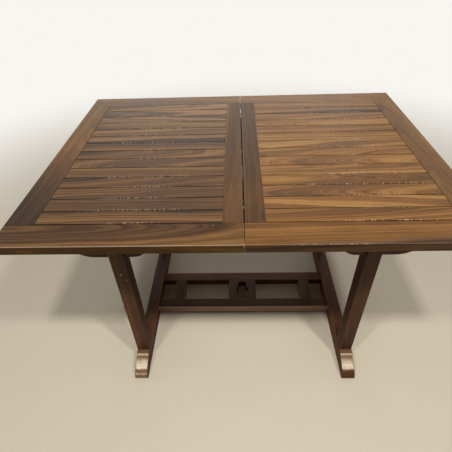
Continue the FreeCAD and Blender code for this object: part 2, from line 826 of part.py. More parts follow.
guide_rail(FRONT)
guide_rail(REAR)
travel_stops()


# Trestle ends

def post(side, depth):
    """A square post, tenoned into the foot below and the guide rail above, mortised for the bearer."""
    name = f"{SIDE_NAMES[side]}_{DEPTH_NAMES[depth]}_post"
    corner = (trestle_middle * side - dim.post_width / 2, post_middle * depth - dim.post_depth / 2,
              dim.foot_height)
    size = (dim.post_width, dim.post_depth, rail_bottom - dim.foot_height)
    shaft = board(f"{name}_shaft", corner, size, dim.post_arris, arrises("-x-y", "-x+y", "+x-y", "+x+y"))
    low = dim.foot_height - dim.foot_tenon_length + dim.glue_gap
    high = rail_bottom + dim.head_tenon_length - dim.glue_gap
    tenon = box(f"{name}_tenon", (trestle_middle * side - dim.post_tenon_width / 2,
                                  post_middle * depth - dim.post_tenon_depth / 2, low),
                (dim.post_tenon_width, dim.post_tenon_depth, high - low))
    inner_face = post_middle - dim.post_depth / 2
    spot = (trestle_middle * side - dim.bearer_width / 4 - dim.glue_gap,
            reach(depth, inner_face, inner_face + dim.bearer_tenon_length),
            bearer_top - (dim.bearer_height + dim.bearer_tenon_height) / 2 - dim.glue_gap)
    mortise = box(f"{name}_mortise", spot, (dim.bearer_width / 2 + 2 * dim.glue_gap,
                                            dim.bearer_tenon_length,
                                            dim.bearer_tenon_height + 2 * dim.glue_gap))
    keep(name, cut(f"{name}_cut", fused(f"{name}_joined", [shaft, tenon]), [mortise]))


def bearer(side):
    """A cross beam between the two posts of a trestle, which carries the leaf's ledges."""
    name = f"{SIDE_NAMES[side]}_bearer"
    end = post_middle - dim.post_depth / 2
    bottom = bearer_top - dim.bearer_height
    beam = board(f"{name}_beam", (trestle_middle * side - dim.bearer_width / 2, -end, bottom),
                 (dim.bearer_width, 2 * end, dim.bearer_height), dim.post_arris,
                 arrises("-x-z", "+x-z", "-x+z", "+x+z"))
    tenon_end = end + dim.bearer_tenon_length - dim.glue_gap
    tenon = box(f"{name}_tenon", (trestle_middle * side - dim.bearer_width / 4, -tenon_end,
                                  bottom + (dim.bearer_height - dim.bearer_tenon_height) / 2),
                (dim.bearer_width / 2, 2 * tenon_end, dim.bearer_tenon_height))
    keep(name, fused(f"{name}_joined", [beam, tenon]))


def bracket_profile(length, flat):
    """A bracket's side: flat beside the post, then two equal arcs that sweep up to its nose."""
    run = (length - flat) / 2
    rise = (dim.bracket_height - dim.bracket_nose) / 2
    bend = (run * run + rise * rise) / (2 * rise)
    return [
        (0, 0),
        (flat, 0, bend, 1),
        (flat + run, rise, bend, -1),
        (length, 2 * rise),
        (length, dim.bracket_height),
        (0, dim.bracket_height),
    ]


def brackets(side, depth):
    """The two curved brackets that stiffen a post's head under the guide rail, the outer one the longer."""
    name = f"{SIDE_NAMES[side]}_{DEPTH_NAMES[depth]}_brackets"
    pair = []
    for way in (LEFT, RIGHT):
        if way == side:
            profile = bracket_profile(dim.outer_bracket_length, dim.outer_bracket_flat)
        else:
            profile = bracket_profile(dim.inner_bracket_length, dim.inner_bracket_flat)
        corner = (trestle_middle * side + dim.post_width / 2 * way,
                  post_middle * depth + dim.bracket_thickness / 2 * way, rail_bottom - dim.bracket_height)
        turn = NO_TURN if way == RIGHT else HALF_TURN
        pair.append(prism(f"{name}_{SIDE_NAMES[way]}", "XZ_Plane", profile, dim.bracket_thickness, corner,
                          turn))
    keep(name, compound(f"{name}_group", pair))


bolt_rows = {FRONT: -(dim.stretcher_width - dim.stretcher_rail_width) / 2,
             REAR: (dim.stretcher_width - dim.stretcher_rail_width) / 2}
bolt_level = dim.stretcher_top - dim.stretcher_thickness / 2


def foot(side):
    """A sled foot: a beam with stepped, rounded toes, mortised for the posts and bored for the bolts."""
    name = f"{SIDE_NAMES[side]}_foot"
    shoulder_height = dim.foot_height - dim.toe_step
    toe_drop = shoulder_height - dim.toe_nose_height
    # The toe's arc leaves its shoulder level
    toe_radius = (dim.toe_length * dim.toe_length + toe_drop * toe_drop) / (2 * toe_drop)
    length = 2 * (post_middle + dim.post_depth / 2 + dim.foot_heel + dim.toe_length)
    profile = [
        (dim.toe_setback, 0),
        (length - dim.toe_setback, 0, dim.toe_nose_radius, 1),
        (length, dim.toe_nose_height, toe_radius, 1),
        (length - dim.toe_length, shoulder_height),
        (length - dim.toe_length, dim.foot_height),
        (dim.toe_length, dim.foot_height),
        (dim.toe_length, shoulder_height, toe_radius, 1),
        (0, dim.toe_nose_height, dim.toe_nose_radius, 1),
    ]
    beam = prism(f"{name}_beam", "YZ_Plane", profile, dim.foot_width,
                 (trestle_middle * side - dim.foot_width / 2, -length / 2, 0))

    def toe_arris(edge, bounds):
        on_cheek = on_side(edge.CenterOfMass, bounds, "-x") or on_side(edge.CenterOfMass, bounds, "+x")
        round_edge = edge.Curve.TypeId == "Part::GeomCircle"
        return on_cheek and round_edge and abs(edge.Curve.Radius - toe_radius.number) < SAME_PLACE

    beam = rounded(f"{name}_top_rounded", beam, dim.foot_arris, [("-x", "+z"), ("+x", "+z")])
    beam = rounded_where(f"{name}_toes_rounded", beam, dim.foot_arris, toe_arris)
    tools = []
    for depth in (FRONT, REAR):
        spot = (trestle_middle * side - dim.post_tenon_width / 2 - dim.glue_gap,
                post_middle * depth - dim.post_tenon_depth / 2 - dim.glue_gap,
                dim.foot_height - dim.foot_tenon_length)
        tools.append(box(f"{name}_{DEPTH_NAMES[depth]}_mortise", spot,
                         (dim.post_tenon_width + 2 * dim.glue_gap,
                          dim.post_tenon_depth + 2 * dim.glue_gap, dim.foot_tenon_length)))
        outer = ((foot_inner + dim.foot_width) * side, bolt_rows[depth], bolt_level)
        inward = FreeCAD.Vector(-side, 0, 0)
        bore = cylinder(f"{name}_{DEPTH_NAMES[depth]}_bore", outer, inward,
                        dim.bolt_radius + dim.bolt_play, dim.foot_width)
        recess = cylinder(f"{name}_{DEPTH_NAMES[depth]}_recess", outer, inward,
                          dim.bolt_head_radius + dim.bolt_play, dim.bolt_head_height + dim.screw_recess)
        tools.append(fused(f"{name}_{DEPTH_NAMES[depth]}_bolt_hole", [bore, recess]))
    keep(name, cut(f"{name}_cut", beam, tools))


for side in (LEFT, RIGHT):
    foot(side)
    bearer(side)
    for depth in (FRONT, REAR):
        post(side, depth)
        brackets(side, depth)


# Stretcher frame: two rails bolted between the feet, two cross slats and a pierced centre board

stretcher_half = dim.stretcher_width / 2
stretcher_bottom = dim.stretcher_top - dim.stretcher_thickness
cross_half = stretcher_half - dim.stretcher_rail_width


def stretcher_rail(depth):
    """One long rail, bored in its ends for the bolts and from below for the barrel nuts."""
    name = f"{DEPTH_NAMES[depth]}_stretcher_rail"
    blank = board(f"{name}_board", (-foot_inner, reach(depth, cross_half, stretcher_half), stretcher_bottom),
                  (2 * foot_inner, dim.stretcher_rail_width, dim.stretcher_thickness), dim.stretcher_arris,
                  arrises("-y+z", "+y+z", "-y-z", "+y-z"))
    tools = []
    for side in (LEFT, RIGHT):
        mouth = (foot_inner * side, bolt_rows[depth], bolt_level)
        bore = cylinder(f"{name}_{SIDE_NAMES[side]}_bore", mouth, FreeCAD.Vector(-side, 0, 0),
                        dim.bolt_radius + dim.bolt_play, dim.bolt_length - dim.foot_width)
        pocket = cylinder(f"{name}_{SIDE_NAMES[side]}_pocket",
                          ((foot_inner - dim.nut_setback) * side, bolt_rows[depth], stretcher_bottom), UP,
                          dim.nut_radius + dim.bolt_play, (dim.stretcher_thickness + dim.nut_length) / 2)
        tools.append(fused(f"{name}_{SIDE_NAMES[side]}_hole", [bore, pocket]))
    keep(name, cut(f"{name}_cut", blank, tools))


def cross_piece(name, middle, width):
    """A short board between the two stretcher rails."""
    return board(f"{name}_board", (middle - width / 2, -cross_half, stretcher_bottom),
                 (width, 2 * cross_half, dim.stretcher_thickness), dim.stretcher_arris,
                 arrises("-x+z", "+x+z"))


def centre_board():
    """The centre board with its four-lobed cut-out."""
    blank = cross_piece("stretcher_centre", as_size(0), dim.centre_board_width)
    end_lobe_offset = cross_half - dim.end_lobe_margin - dim.end_lobe_radius
    lobes = []
    for way in (-1, 1):
        lobes.append(cylinder(f"end_lobe_{way}", (0, end_lobe_offset * way, stretcher_bottom), UP,
                              dim.end_lobe_radius, dim.stretcher_thickness))
        lobes.append(cylinder(f"side_lobe_{way}", (dim.side_lobe_offset * way, 0, stretcher_bottom), UP,
                              dim.side_lobe_radius, dim.stretcher_thickness))
    keep("stretcher_centre_board", cut("stretcher_centre_cut", blank, [fused("four_lobes", lobes)]))


def stretcher_fixings():
    """Bolts through the feet, and the barrel nuts in the rails that they screw into."""
    bolts, nuts = [], []
    for side in (LEFT, RIGHT):
        for depth in (FRONT, REAR):
            label = f"{SIDE_NAMES[side]}_{DEPTH_NAMES[depth]}"
            inward = FreeCAD.Vector(-side, 0, 0)
            start = ((foot_inner + dim.foot_width - dim.screw_recess) * side, bolt_rows[depth], bolt_level)
            head = cylinder(f"bolt_{label}_head", start, inward, dim.bolt_head_radius, dim.bolt_head_height)
            shank = cylinder(f"bolt_{label}_shank", start, inward, dim.bolt_radius,
                             dim.bolt_length - 2 * dim.screw_recess)
            bolts.append(fused(f"bolt_{label}", [head, shank]))
            middle = ((foot_inner - dim.nut_setback) * side, bolt_rows[depth])
            barrel = cylinder(f"nut_{label}_barrel", (*middle, bolt_level - dim.nut_length / 2), UP,
                              dim.nut_radius, dim.nut_length)
            thread = cylinder(f"nut_{label}_thread",
                              (middle[0] - 2 * dim.nut_radius, middle[1], bolt_level),
                              FreeCAD.Vector(1, 0, 0), dim.bolt_radius + dim.bolt_play, 4 * dim.nut_radius)
            nuts.append(cut(f"nut_{label}", barrel, [thread]))
    keep("stretcher_bolts", compound("stretcher_bolt_group", bolts))
    keep("stretcher_barrel_nuts", compound("stretcher_nut_group", nuts))


stretcher_rail(FRONT)
stretcher_rail(REAR)
for side in (LEFT, RIGHT):
    slat_name = f"{SIDE_NAMES[side]}_stretcher_slat"
    keep(slat_name, cross_piece(slat_name, dim.cross_slat_spread / 2 * side, dim.cross_slat_width))
centre_board()
stretcher_fixings()


# Ledges that carry the stored leaf, and the screws of the base

def leaf_ledge(depth):
    """A strip on the bearers with a low lip that keeps the stored leaf in line."""
    name = f"{DEPTH_NAMES[depth]}_leaf_ledge"
    height = leaf_bottom - bearer_top
    width = dim.lip_width + dim.ledge_play + dim.ledge_bearing_width
    half_run = trestle_middle + dim.bearer_width / 2 + dim.ledge_overhang
    section = [
        (0, 0),
        (width, 0),
        (width, height),
        (dim.lip_width, height),
        (dim.lip_width, height + dim.lip_height),
        (0, height + dim.lip_height),
    ]
    outer = leaf_half + dim.ledge_play + dim.lip_width
    corner = (half_run * depth, outer * depth, bearer_top)
    turn = NO_TURN if depth == FRONT else HALF_TURN
    keep(name, prism(f"{name}_body", "YZ_Plane", section, 2 * half_run, corner, turn))


def base_screws():
    """Screws down through the ledges into the bearers, and through the travel stops into the rails."""
    screws = []
    stop_middle = stop_near + dim.stop_length / 2
    ledge_screw_length = leaf_bottom - bearer_top - dim.screw_recess + dim.bearer_bite
    stop_screw_length = rail_inner - runner_inner - dim.screw_recess + dim.board_bite
    for side in (LEFT, RIGHT):
        for depth in (FRONT, REAR):
            ledge_point = (trestle_middle * side, (leaf_half - dim.ledge_bearing_width / 2) * depth,
                           leaf_bottom - dim.screw_recess)
            screws.append(wood_screw(f"base_screw_{len(screws)}", ledge_point, DOWN, ledge_screw_length))
            stop_point = (stop_middle * side, (runner_inner + dim.screw_recess) * depth,
                          stop_bottom - dim.stop_drop + dim.stop_height / 2)
            outward = FreeCAD.Vector(0, depth, 0)
            screws.append(wood_screw(f"base_screw_{len(screws)}", stop_point, outward, stop_screw_length))
    keep("base_screws", compound("base_screw_group", screws))


leaf_ledge(FRONT)
leaf_ledge(REAR)
base_screws()

# Every feature has to be sound before any file is written
doc.recompute()
for item in doc.Objects:
    if "Invalid" in item.State or "Error" in item.State:
        raise RuntimeError(f"{item.Label} failed: {item.State}")
for name, item in nodes.items():
    if item.Shape.isNull() or not item.Shape.isValid() or not item.Shape.Solids:
        raise RuntimeError(f"{name} has no sound solid")
for name, item in nodes.items():
    item.Shape.exportStep(f"parts/{name}.step")
print(len(nodes), "nodes,", sum(len(item.Shape.Solids) for item in nodes.values()), "solids")
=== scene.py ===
# Extending garden table in dark stained hardwood: trestle base, sliding top halves and the stored leaf.
# Metres, +Z up, the photograph's front at -Y. Sections follow the table as it is put together.
import math

import bpy
import numpy as np
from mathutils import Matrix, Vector


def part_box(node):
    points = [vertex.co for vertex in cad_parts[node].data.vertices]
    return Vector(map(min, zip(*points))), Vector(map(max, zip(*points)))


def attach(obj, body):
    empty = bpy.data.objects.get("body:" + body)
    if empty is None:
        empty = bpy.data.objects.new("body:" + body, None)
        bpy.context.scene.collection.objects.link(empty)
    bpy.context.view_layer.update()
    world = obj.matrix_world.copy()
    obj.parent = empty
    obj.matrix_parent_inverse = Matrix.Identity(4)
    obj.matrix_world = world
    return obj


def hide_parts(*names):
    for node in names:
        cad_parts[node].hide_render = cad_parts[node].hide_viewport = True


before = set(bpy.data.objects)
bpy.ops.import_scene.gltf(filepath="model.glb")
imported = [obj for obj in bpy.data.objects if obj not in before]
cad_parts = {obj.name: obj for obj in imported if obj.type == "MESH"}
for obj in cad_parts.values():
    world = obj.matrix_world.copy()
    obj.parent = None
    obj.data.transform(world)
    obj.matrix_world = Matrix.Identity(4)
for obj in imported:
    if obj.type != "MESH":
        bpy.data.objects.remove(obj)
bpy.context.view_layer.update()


# The two feet are sled beams of dark stained hardwood that lie on the floor from front to back.
# Each is sawn from one plank, with stepped, rounded toes at both ends.
# The toes are paler in places, partly where shoes have rubbed the finish through and partly as painted
# highlight, with painted light about them.

class Wire:
    """A value inside a material's node tree; operators on it add Math nodes."""

    def __init__(self, tree, socket):
        self.tree = tree
        self.socket = socket

    def node(self, kind, output, settings, inputs):
        """Any node: its type, the output wanted, its settings, then the values or wires of its sockets."""
        made = self.tree.nodes.new(kind)
        for key, value in settings.items():
            if key == "stops":
                ramp = made.color_ramp.elements
                while len(ramp) < len(value):
                    ramp.new(1.0)
                for stop, (position, colour) in zip(ramp, value):
                    stop.position = position
                    stop.color = (*colour, 1.0)
            else:
                setattr(made, key, value)
        for key, value in inputs.items():
            if isinstance(value, Wire):
                self.tree.links.new(value.socket, made.inputs[key])
            else:
                made.inputs[key].default_value = value
        return Wire(self.tree, made.outputs[output])

    def maths(self, operation, first, second=0.0):
        return self.node("ShaderNodeMath", 0, {"operation": operation}, {0: first, 1: second})

    def __add__(self, other):
        return self.maths("ADD", self, other)

    def __radd__(self, other):
        return self.maths("ADD", other, self)

    def __sub__(self, other):
        return self.maths("SUBTRACT", self, other)

    def __rsub__(self, other):
        return self.maths("SUBTRACT", other, self)

    def __mul__(self, other):
        return self.maths("MULTIPLY", self, other)

    def __rmul__(self, other):
        return self.maths("MULTIPLY", other, self)

    def __truediv__(self, other):
        return self.maths("DIVIDE", self, other)

    def __abs__(self):
        return self.maths("ABSOLUTE", self)


def new_finish(name):
    """A bare material: itself, its shader and the piece's own coordinates as a wire."""
    finish = bpy.data.materials.new(name)
    finish.use_nodes = True
    tree = finish.node_tree
    place = Wire(tree, tree.nodes.new("ShaderNodeTexCoord").outputs["Object"])
    return finish, tree.nodes["Principled BSDF"], place


def feed(shader, **sockets):
    """Set or link the shader's sockets, named with _ for a space."""
    for key, value in sockets.items():
        socket = shader.inputs[key.replace("_", " ")]
        if isinstance(value, Wire):
            value.tree.links.new(value.socket, socket)
        else:
            socket.default_value = value


def noise(vector, scale, detail, roughness=0.5):
    """Cloudy noise from 0 to 1 at a point."""
    return vector.node("ShaderNodeTexNoise", "Fac", {"noise_dimensions": "3D"},
                       {"Vector": vector, "Scale": scale, "Detail": detail, "Roughness": roughness})


def rise(value, low, high):
    """A smooth step: 0 below low, 1 above high; turned round where low is the larger."""
    return value.node("ShaderNodeMapRange", "Result", {"interpolation_type": "SMOOTHSTEP"},
                      {"Value": value, "From Min": low, "From Max": high, "To Min": 0.0, "To Max": 1.0})


def mixed(factor, first, second):
    """One colour over another by a factor."""
    return factor.node("ShaderNodeMix", 2, {"data_type": "RGBA"}, {0: factor, 6: first, 7: second})


def larger(first, second):
    """The larger of two values."""
    return first.maths("MAXIMUM", first, second)


def at_least(least, value):
    """A value from 0 to 1, squeezed into the range from least to 1."""
    return value * (1 - least) + least


def toned(colour, saturation, value):
    """A colour with its saturation and its brightness multiplied."""
    return colour.node("ShaderNodeHueSaturation", "Color", {},
                       {"Saturation": saturation, "Value": value, "Color": colour})


def bumped(height, strength, distance):
    """The surface's normal, tilted by a height in shares of a distance."""
    return height.node("ShaderNodeBump", "Normal", {},
                       {"Strength": strength, "Distance": distance, "Height": height})


NEXT_IN_ROW = 1.37
DRIFT_REACH = 40.0


class Board:
    """A board's wood, or that of a row of like boards, as wires in metres from the board's middle.

    run goes along the grain, side across the width and deep through the thickness. Each board has chances
    of its own, from 0 to 1, by its plank's number and its number in the row.
    """

    def __init__(self, place, node, along, across, plank, row):
        through = ({"x", "y", "z"} - {along, across}).pop()
        table = {axis: place.node("ShaderNodeSeparateXYZ", axis.upper(), {}, {"Vector": place})
                 for axis in "xyz"}
        local, half = {}, {}
        for axis, low, high in zip("xyz", *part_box(node)):
            local[axis] = table[axis] - (low + high) / 2
            half[axis] = (high - low) / 2
        self.place = place
        self.key = plank
        if row:
            first_edge, pitch, half_width, count = row
            number = place.maths("FLOOR", (table[across] - first_edge) / pitch)
            local[across] = table[across] - first_edge - (number + 0.5) * pitch
            half[across] = half_width
            self.key = number * NEXT_IN_ROW + plank
            self.from_middle_of_row = number - count / 2
        self.table_run, self.table_side = table[along], table[across]
        self.run, self.side, self.deep = local[along], local[across], local[through]
        self.half_run, self.half_side, self.half_deep = half[along], half[across], half[through]
        self.heart_side, self.heart_depth, self.heart_lean = self.chances(0.0)
        self.shade, self.greyness, self.drift = self.chances(7.31)
        # The second of these sets how far each board's painted glints reach along the table.
        self.heart_girth, self.wear_reach, _ = self.chances(15.73)

    def chances(self, shift):
        """Three numbers of the board's own, from white noise at its key and a shift."""
        colour = self.place.node("ShaderNodeTexWhiteNoise", "Color", {"noise_dimensions": "1D"},
                                 {"W": self.key + shift})
        return [self.place.node("ShaderNodeSeparateColor", part, {}, {"Color": colour})
                for part in ("Red", "Green", "Blue")]

    def grain(self, along, across, detail, roughness=0.5):
        """Noise drawn out along the grain, by its waves per metre along and across it."""
        point = {"X": self.run * along + self.drift * DRIFT_REACH, "Y": self.side * across + self.key,
                 "Z": self.deep * across}
        return noise(self.place.node("ShaderNodeCombineXYZ", "Vector", {}, point), 1.0, detail, roughness)

    def from_sides(self):
        """How far a point lies from the nearer of the board's two narrow edges."""
        return self.half_side - abs(self.side)

    def from_arris(self):
        """How far a surface point lies from the nearest arris.

        It is the middle one of the point's distances to the three pairs of faces.
        """
        one, two, three = self.half_run - abs(self.run), self.from_sides(), self.half_deep - abs(self.deep)
        least = one.maths("MINIMUM", one.maths("MINIMUM", one, two), three)
        return one + two + three - least - larger(larger(one, two), three)


HEART_ASIDE, HEART_SWAY = 0.11, 0.035
HEART_LEAST_DEPTH, HEART_DEPTH, HEART_RIPPLE = 0.012, 0.06, 0.008
HEART_LEAN = 0.20
HEART_GIRTH = 0.055
BANDS_PER_METRE, RINGS_PER_METRE = 58.0, 190.0
BAND_START, RING_RIPPLE = 31.0, 0.8
VEIN_LEVEL, VEIN_WIDTH = 0.47, 0.04
BAND_TONE, HEART_TONE, LATE_WOOD_TONE, VEIN_TONE = 0.36, 0.30, 0.07, 0.15


def growth(board, heart_size):
    """Heartwood, late wood and streaks of a board cut from a round log.

    The growth rings are circles about a heart line that runs along the grain, off to one side of the board
    and leaning a little, so that they meet the faces as straight streaks or as cathedral arches. Inside a
    certain radius lies the dark heartwood, outside it the tan sapwood. Bands of uneven darkness follow the
    radius too, with a dark vein wherever a band crosses one level.
    """
    sway = board.grain(2.4, 5.0, 2.0) - 0.5
    ripple = board.grain(7.0, 22.0, 2.0) - 0.5
    beside = board.side + (board.heart_side - 0.5) * HEART_ASIDE + sway * HEART_SWAY
    below = board.deep + board.heart_depth * HEART_DEPTH + HEART_LEAST_DEPTH
    below = below + board.run * (board.heart_lean - 0.5) * HEART_LEAN + ripple * HEART_RIPPLE
    radius = below.maths("SQRT", beside * beside + below * below)
    bands = radius.node("ShaderNodeTexNoise", "Fac", {"noise_dimensions": "1D"},
                        {"W": radius * BANDS_PER_METRE + board.heart_side * BAND_START,
                         "Scale": 1.0, "Detail": 4.0, "Roughness": 0.68})
    rings = radius.maths("FRACT", radius * RINGS_PER_METRE + ripple * RING_RIPPLE)
    late_wood = rise(rings, 0.30, 0.95) * rise(rings, 1.0, 0.95)
    heart = rise(radius - (board.heart_girth * HEART_GIRTH + heart_size), 0.0022, -0.0018)
    veins = rise(abs(bands - VEIN_LEVEL), VEIN_WIDTH, 0.0)
    streaks = (rise(bands, 0.28, 0.72) - 0.5) * BAND_TONE - heart * HEART_TONE
    return heart, late_wood, streaks - late_wood * LATE_WOOD_TONE - veins * VEIN_TONE


# The zone of painted glints: its core and its fade, in shares of its reach.
ZONE_CORE, ZONE_FADE = 0.04, 0.4


def arris_wear(board, pale_arris=0.25, arris_width=0.0028, front_only=False, worn=0.0, zone=None):
    """Painted highlights along the arrises, from 0 to 1.

    A band along every arris, or along the upper front one only, is painted a little paler as a highlight.
    The upper arrises carry painted glints, pale dashes all along or in a zone of the table's length whose
    reach differs from board to board.
    """
    # The band along the arrises is a painted highlight.
    arris = rise(board.from_arris(), arris_width, arris_width * 0.3)
    upper = rise(board.deep, 0.0, 0.5 * board.half_deep)
    if front_only:
        arris = arris * rise(board.side, -0.8 * board.half_side, -0.9 * board.half_side) * upper
    # The dashes are painted glints: pale specks for lamp light caught on the rounded arrises.
    dashes = rise(board.grain(240.0, 30.0, 2.0, 0.7), 0.50, 0.61)
    rubbed = arris * upper * dashes * worn
    if zone:
        middle, reach = zone
        past_reach = abs(board.table_run - middle) - board.wear_reach * reach
        rubbed = rubbed * rise(past_reach, ZONE_FADE * reach, -ZONE_CORE)
    return larger(rubbed, arris * pale_arris)


TOE_STEP, RAGGED = 0.010, 0.010
# The step's pale line is a painted highlight.
STEP_WEAR, LEAST_ON_CROWN, LEAST_IN_BLOTCHES = 0.95, 0.68, 0.7
HAZE_BEHIND_STEP, HAZE_ON_TOE = 0.48, 0.24


def toe_wear(board, step, crown, nose, lip, lip_wear):
    """A haze of painted light about a foot's toes, and the pale marks on them, each from 0 to 1.

    The places are distances from the foot's middle. Pale are the step's face, as a painted highlight, and
    the crown from its start to the nose, the more the nearer to the nose, with ragged ends, partly as
    rubbed finish and partly as painted highlight; a lip so marked has one more pale line below, of the same
    mix. The haze, a lighter brown painted where light falls on the foot's top, starts behind the step and
    ends at the nose, or goes on over such a lip. The cheeks keep their finish.
    """
    far = abs(board.run)
    ragged = far + (board.grain(50.0, 150.0, 3.0, 0.6) - 0.5) * RAGGED
    blotches = rise(board.grain(40.0, 110.0, 3.0), 0.36, 0.58)
    shoulder = board.half_deep - TOE_STEP
    # The step's line is a painted highlight.
    on_step = rise(abs(far - step), 0.0026, 0.0010) * STEP_WEAR
    on_step = on_step * rise(board.deep, shoulder - 0.0005, shoulder + 0.0015)
    # The crown is partly rubbed finish and partly painted highlight.
    on_crown = rise(ragged, crown - 0.012, crown + 0.006) * rise(ragged, nose + 0.0025, nose - 0.0025)
    on_crown = on_crown * at_least(LEAST_ON_CROWN, rise(far, crown, nose))
    on_crown = on_crown * at_least(LEAST_IN_BLOTCHES, blotches)
    # The lip's line is partly rubbed finish and partly painted highlight.
    on_lip = rise(abs(ragged - lip), 0.0030, 0.0010) * (blotches * 0.25 + 0.15) * lip_wear
    # The haze is painted light: a lighter brown where light falls on the foot's top.
    haze = rise(far, step - 0.024, step - 0.014) * HAZE_BEHIND_STEP
    haze = haze + rise(far, step, step + 0.003) * HAZE_ON_TOE
    haze = haze * at_least(lip_wear, rise(ragged, nose + 0.008, nose))
    off_cheeks = rise(board.from_sides(), 0.0004, 0.0035)
    return haze * off_cheeks, larger(larger(on_crown, on_step), on_lip) * off_cheeks


def scuff(board, run, side, half_length, half_width, strength):
    """A pale oval mark on a board's front face, at a place in the table's own coordinates."""
    one = (board.table_run - run) / half_length
    two = (board.table_side - side) / half_width
    on_front = rise(board.deep, 0.0, -0.9 * board.half_deep)
    return rise(one * one + two * two, 1.0, 0.2) * on_front * strength


def dress(node, finish):
    """Give a CAD node its finish."""
    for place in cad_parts[node].material_slots:
        place.material = finish


# Pale wood: the colour of painted highlights and glints, of rubbed toes and of pale marks.
BARE_WOOD = (0.58, 0.46, 0.34, 1.0)
# A lighter brown, painted where light falls about the toes.
RUBBED_BROWN = (0.30, 0.185, 0.10, 1.0)
MIDDLE_TONE, SHADE_TONE, CLOUD_TONE, FIBRE_TONE = 0.63, 0.16, 0.40, 0.40
GREYED_SATURATION, GREYED_VALUE = 0.88, 0.90
PORE_DARKNESS = 0.55
RELIEF, RELIEF_DEPTH = 0.22, 0.0012


def hardwood(node, along, across, tones, plank, row=None, back_lift=0.0, figure=1.0, heart_size=0.03,
             grey=1.0, stain=0.0, near_stain=0.0, flank=0.55, flank_saturation=1.08, flank_dull=0.0,
             roughness=0.42, shine=0.22, toe=None, scuffs=(), bare_wood=BARE_WOOD, **arris_looks):
    """Dress a CAD node in stained hardwood.

    The streaks of growth, clouds, fibres, the plank's own shade and its stain add up to a tone, which picks
    the colour from the tones. A near-end term changes the tone towards the near end, partly as a darker
    board and partly as painted shade; back_lift changes it towards the back of a row. Heartwood and some
    planks turn greyer and pores stay dark. The board's narrow edges, its flanks, take painted shade, or
    painted light above 1, with a saturation and a dullness of their own. Painted highlights on the arrises,
    the toes' rubbed finish and painted highlights, and pale oval marks show as pale wood.
    """
    finish, shader, place = new_finish(f"{node}_wood")
    board = Board(place, node, along, across, plank, row)
    heart, late_wood, streaks = growth(board, heart_size)
    fibres = board.grain(9.0, 260.0, 3.0, 0.65)
    pores = rise(board.grain(45.0, 1300.0, 1.0), 0.60, 0.72)
    clouds = board.grain(3.2, 11.0, 2.0)

    shade = (board.shade - 0.5) * SHADE_TONE + (MIDDLE_TONE + stain)
    if row:
        shade = shade + board.from_middle_of_row * back_lift
    # Darker towards the near end, partly a darker board and partly painted shade.
    if near_stain:
        shade = shade + rise(board.run, 0.2 * board.half_run, -0.95 * board.half_run) * near_stain
    tone = streaks * figure + (clouds - 0.5) * CLOUD_TONE + (fibres - 0.5) * FIBRE_TONE + shade
    colour = place.node("ShaderNodeValToRGB", "Color", {"stops": tones}, {"Fac": tone})
    turned_grey = rise(heart * 0.45 + board.greyness * 0.5, 0.30, 0.85) * grey
    colour = mixed(turned_grey, colour, toned(colour, GREYED_SATURATION, GREYED_VALUE))
    darkest = tones[0][1]
    colour = mixed(pores * PORE_DARKNESS, colour, (*darkest, 1.0))
    # The narrow edges are painted darker as shade, or lighter as painted light where the setting is above
    # 1.
    narrow_edge = rise(board.from_sides(), 0.0016, 0.0004)
    colour = mixed(narrow_edge, colour, toned(colour, flank_saturation, flank))

    rubbed = arris_wear(board, **arris_looks)
    if toe:
        haze, bare_toe = toe_wear(board, **toe)
        # The haze about the toes is painted light.
        colour = mixed(haze, colour, RUBBED_BROWN)
        rubbed = larger(rubbed, bare_toe)
    for mark in scuffs:
        rubbed = larger(rubbed, scuff(board, *mark))
    # Pale wood over the painted highlights, the toes' rubbed and highlighted parts and the pale marks.
    colour = mixed(rubbed, colour, bare_wood)

    dullness = roughness + (fibres - 0.5) * 0.16 + pores * 0.18 + (clouds - 0.5) * 0.10 - rubbed * 0.12
    if flank_dull:
        dullness = dullness + narrow_edge * flank_dull
    height = fibres * 0.5 - pores * 0.8 - late_wood * 0.25 + clouds * 0.6
    feed(shader, Base_Color=colour, Roughness=dullness, Normal=bumped(height, RELIEF, RELIEF_DEPTH),
         Specular_IOR_Level=shine)
    dress(node, finish)


DARK_STAIN = [(0.0, (0.016, 0.0065, 0.003)), (0.38, (0.050, 0.020, 0.0085)),
              (0.66, (0.100, 0.041, 0.017)), (1.0, (0.185, 0.082, 0.034))]
# The base's narrow edges are painted a little darker as shade, and its arrises take a faint painted
# highlight.
BASE_LOOKS = {"figure": 0.5, "grey": 0.0, "roughness": 0.30, "shine": 0.13, "flank": 0.9,
              "pale_arris": 0.05}


def base_board(node, along, across, plank, **looks):
    """A piece of the trestle base in its own cut of the dark stained wood."""
    hardwood(node, along, across, DARK_STAIN, plank, **{**BASE_LOOKS, **looks})


SIDE_DULL = 0.28
FROM_FOOT_END = {"step": 0.066, "crown": 0.049, "nose": 0.0205, "lip": 0.0082}
foot_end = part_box("left_foot")[1].y
toe_places = {place: foot_end - distance for place, distance in FROM_FOOT_END.items()}
# For each foot: how far the lip takes its pale line and the haze, and the pale colour of its rubbed and
# highlighted toes.
FOOT_WEAR = {"left_foot": (1.0, (1.0, 0.85, 0.69, 1.0)), "right_foot": (0.0, (0.90, 0.75, 0.60, 1.0))}
# The feet's sides are painted darker as shade.
for number, (node, (lip_wear, bare_wood)) in enumerate(FOOT_WEAR.items()):
    base_board(node, "y", "x", 3.1 + number, flank=0.8, flank_dull=SIDE_DULL,
               toe={**toe_places, "lip_wear": lip_wear}, bare_wood=bare_wood)


# Four square posts stand in mortises in the feet and carry the guide rails on their heads.
# They are straight-grained hardwood, stained as dark as the feet, with rounded arrises.
# The posts' sides are painted darker as shade. The left front one has two pale oval marks: height, place
# across, half height, half width and strength of each.

